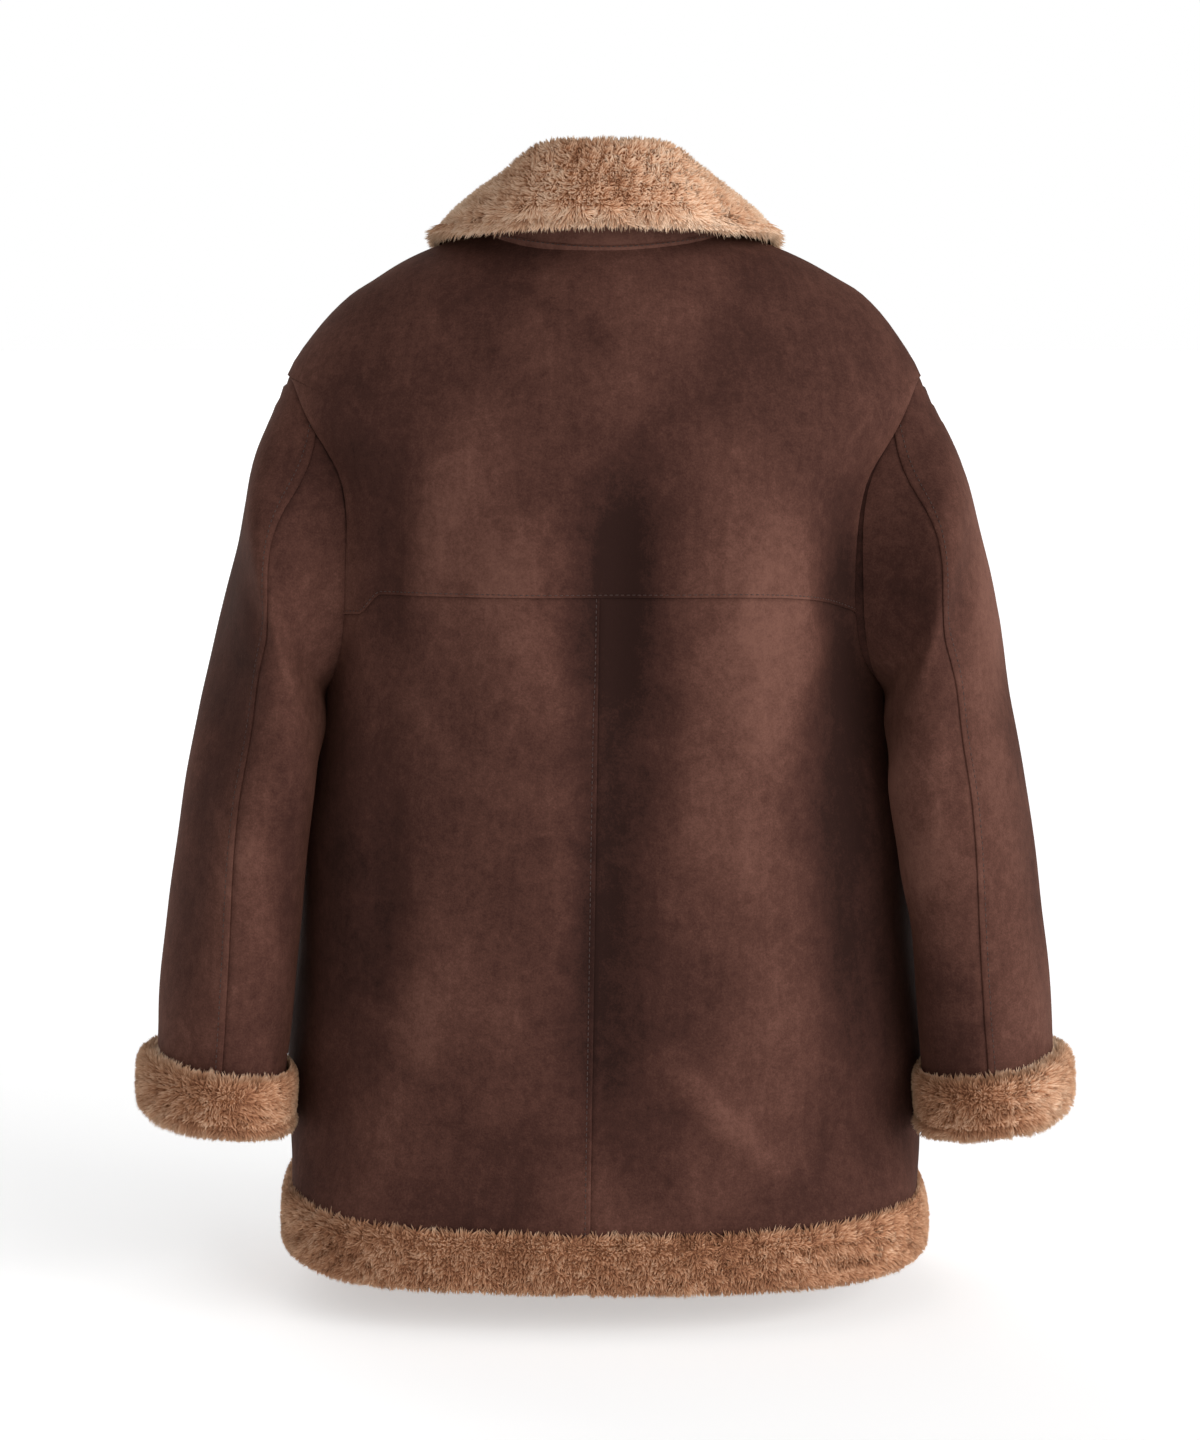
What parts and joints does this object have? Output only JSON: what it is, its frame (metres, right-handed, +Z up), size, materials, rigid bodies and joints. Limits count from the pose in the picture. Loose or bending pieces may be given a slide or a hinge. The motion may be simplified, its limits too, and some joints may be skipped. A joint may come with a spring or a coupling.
{
  "type": "shearling coat",
  "caption": "Hip-length shearling coat as it hangs when worn, with nobody in it: suede outside, fleece inside, fleece collar, cuffs and hem.",
  "frame": {"origin": "middle of the neck opening, at the neck seam, where the wearer's shoulders hold the coat up", "axes": "+Z up, +Y out of the back of the coat, +X to the wearer's left"},
  "size_m": [0.7326, 0.328, 0.8611],
  "materials": {
    "suede": "brushed suede, matt, with a nap that catches the light in patches",
    "fleece": "curly clipped wool, tan, matt",
    "horn_button": "dark brown horn-like resin, satin"
  },
  "bodies": {
    "root": {"back_yoke": "suede", "back_left": "suede", "back_right": "suede", "front_left": "suede", "front_right": "suede", "sleeve_left_upper": "suede", "sleeve_left_under": "suede", "sleeve_right_upper": "suede", "sleeve_right_under": "suede", "cuff_left": "fleece", "cuff_right": "fleece", "hem_band_back_left": "fleece", "hem_band_back_right": "fleece", "hem_band_front_left": "fleece", "hem_band_front_right": "fleece", "collar": "fleece", "collar_stand": "suede", "under_collar": "suede", "button_1": "horn_button", "button_2": "horn_button", "button_3": "horn_button", "button_4": "horn_button"}
  },
  "joints": []
}
